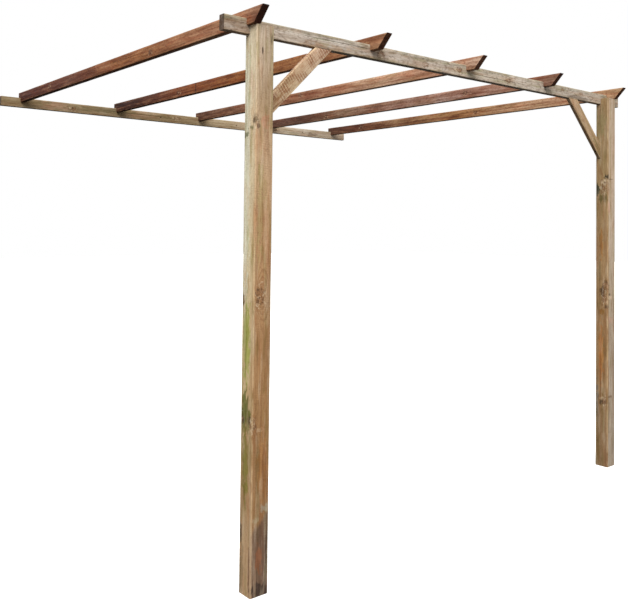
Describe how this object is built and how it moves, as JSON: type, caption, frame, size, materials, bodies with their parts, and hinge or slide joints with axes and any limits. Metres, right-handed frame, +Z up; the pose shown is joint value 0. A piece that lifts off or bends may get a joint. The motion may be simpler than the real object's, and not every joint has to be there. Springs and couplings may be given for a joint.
{
  "type": "lean-to pergola",
  "caption": "Wall-mounted timber pergola: square posts carry a front beam with corner braces, and notched rafters with slanted noses run back to a wall plate.",
  "frame": {"origin": "centre of the wall plate's flat back face, which lies against the wall", "axes": "+Y points into the wall, +Z up, +X to the right as seen from the front; the pergola reaches out towards -Y"},
  "size_m": [3.31, 3.297, 2.637],
  "materials": {
    "post_timber": "rough-sawn pressure-treated pine, matt",
    "beam_timber": "weathered grey-beige pine, matt",
    "plate_timber": "greenish brown treated pine, matt",
    "rafter_timber": "red-brown stained pine, matt",
    "brace_timber": "light ribbed pine board, matt",
    "zinc_steel": "zinc-plated, satin"
  },
  "bodies": {
    "root": {"post_left": "post_timber", "post_right": "post_timber", "front_beam": "beam_timber", "wall_plate": "plate_timber", "rafter_1": "rafter_timber", "rafter_2": "rafter_timber", "rafter_3": "rafter_timber", "rafter_4": "rafter_timber", "rafter_5": "rafter_timber", "brace_left": "brace_timber", "brace_right": "brace_timber", "front_screw_1": "zinc_steel", "front_screw_2": "zinc_steel", "front_screw_3": "zinc_steel", "front_screw_4": "zinc_steel", "front_screw_5": "zinc_steel", "wall_screw_1": "zinc_steel", "wall_screw_2": "zinc_steel", "wall_screw_3": "zinc_steel", "wall_screw_4": "zinc_steel", "wall_screw_5": "zinc_steel", "coach_screw_left_outer": "zinc_steel", "coach_screw_left_inner": "zinc_steel", "coach_screw_right_inner": "zinc_steel", "coach_screw_right_outer": "zinc_steel", "brace_screw_left_post": "zinc_steel", "brace_screw_left_beam": "zinc_steel", "brace_screw_right_post": "zinc_steel", "brace_screw_right_beam": "zinc_steel"}
  },
  "joints": []
}
